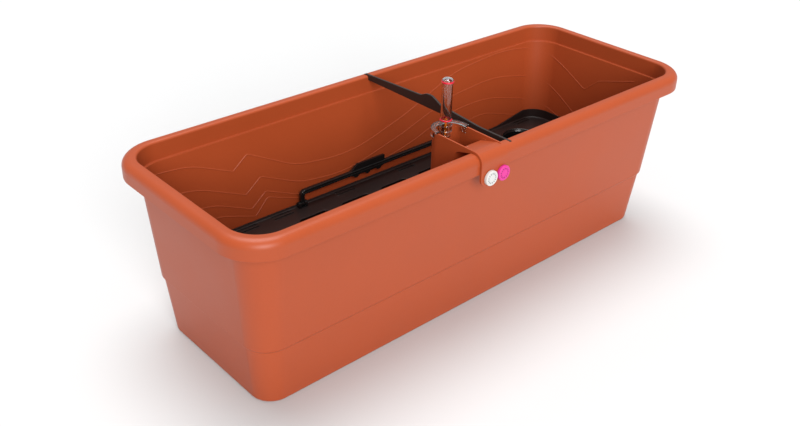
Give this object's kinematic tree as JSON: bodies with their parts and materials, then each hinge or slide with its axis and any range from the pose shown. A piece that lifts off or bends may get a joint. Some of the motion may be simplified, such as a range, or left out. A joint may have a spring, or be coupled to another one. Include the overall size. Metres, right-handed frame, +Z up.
{
  "type": "self watering planter",
  "caption": "Long rectangular planter with a rolled rim, a lift-out false floor over a water reservoir, a filling shaft and a float gauge.",
  "frame": {"origin": "centre of the base, on the surface the planter stands on", "axes": "+X along the long side, -Y towards the side with the filling shaft, +Z up"},
  "size_m": [0.8, 0.3109, 0.3245],
  "materials": {
    "terracotta_plastic": "satin moulded",
    "insert_plastic": "satin moulded",
    "gloss_black_plastic": "gloss moulded",
    "clear_plastic": "clear moulded plastic",
    "red_plastic": "gloss",
    "orange_plastic": "gloss",
    "float_foam": "closed-cell foam",
    "white_plastic": "satin moulded",
    "pink_plastic": "satin moulded",
    "seal_rubber": "matt"
  },
  "bodies": {
    "trough": {"trough": "terracotta_plastic"},
    "insert": {"false_floor": "insert_plastic", "end_collar_left": "insert_plastic", "end_collar_right": "insert_plastic", "wick_cup_front_left": "gloss_black_plastic", "wick_cup_front_right": "gloss_black_plastic", "wick_cup_back_left": "gloss_black_plastic", "wick_cup_back_right": "gloss_black_plastic", "handle_bracket_left": "gloss_black_plastic", "handle_bracket_right": "gloss_black_plastic"},
    "handle": {"lift_handle": "gloss_black_plastic"},
    "brace": {"cross_brace": "insert_plastic"},
    "shaft": {"filling_shaft": "terracotta_plastic"},
    "gauge": {"gauge_tube": "clear_plastic", "gauge_clip": "clear_plastic", "gauge_guide": "clear_plastic", "gauge_ring_low": "red_plastic", "gauge_ring_high": "red_plastic"},
    "float_stem": {"float_rod": "orange_plastic", "float": "float_foam"},
    "white_button": {"marker_white": "white_plastic"},
    "pink_button": {"marker_pink": "pink_plastic"},
    "plug": {"drain_plug": "gloss_black_plastic", "plug_seal": "seal_rubber"}
  },
  "joints": [
    {"name": "insert_lift", "type": "slide", "parent": "trough", "child": "insert", "axis": [0, 0, 1], "range_m": [0, 0.1]},
    {"name": "handle_fold", "type": "hinge", "parent": "insert", "child": "handle", "pos_m": [0, 0.113, 0.102], "axis": [1, 0, 0], "range_deg": [0, 80]},
    {"name": "brace_lift", "type": "slide", "parent": "trough", "child": "brace", "axis": [0, 0, 1], "range_m": [0, 0.08]},
    {"name": "shaft_lift", "type": "slide", "parent": "trough", "child": "shaft", "axis": [0, 0, 1], "range_m": [0, 0.12]},
    {"name": "gauge_lift", "type": "slide", "parent": "shaft", "child": "gauge", "axis": [0, 0, 1], "range_m": [0, 0.15]},
    {"name": "float_rise", "type": "slide", "parent": "gauge", "child": "float_stem", "axis": [0, 0, 1], "range_m": [0, 0.052]},
    {"name": "white_button_turn", "type": "hinge", "parent": "shaft", "child": "white_button", "pos_m": [-0.0424, -0.155, 0.2235], "axis": [0, -1, 0], "continuous": true},
    {"name": "pink_button_turn", "type": "hinge", "parent": "shaft", "child": "pink_button", "pos_m": [-0.02, -0.155, 0.2235], "axis": [0, -1, 0], "continuous": true},
    {"name": "plug_pull", "type": "slide", "parent": "trough", "child": "plug", "axis": [0, 1, 0], "range_m": [0, 0.03]}
  ]
}
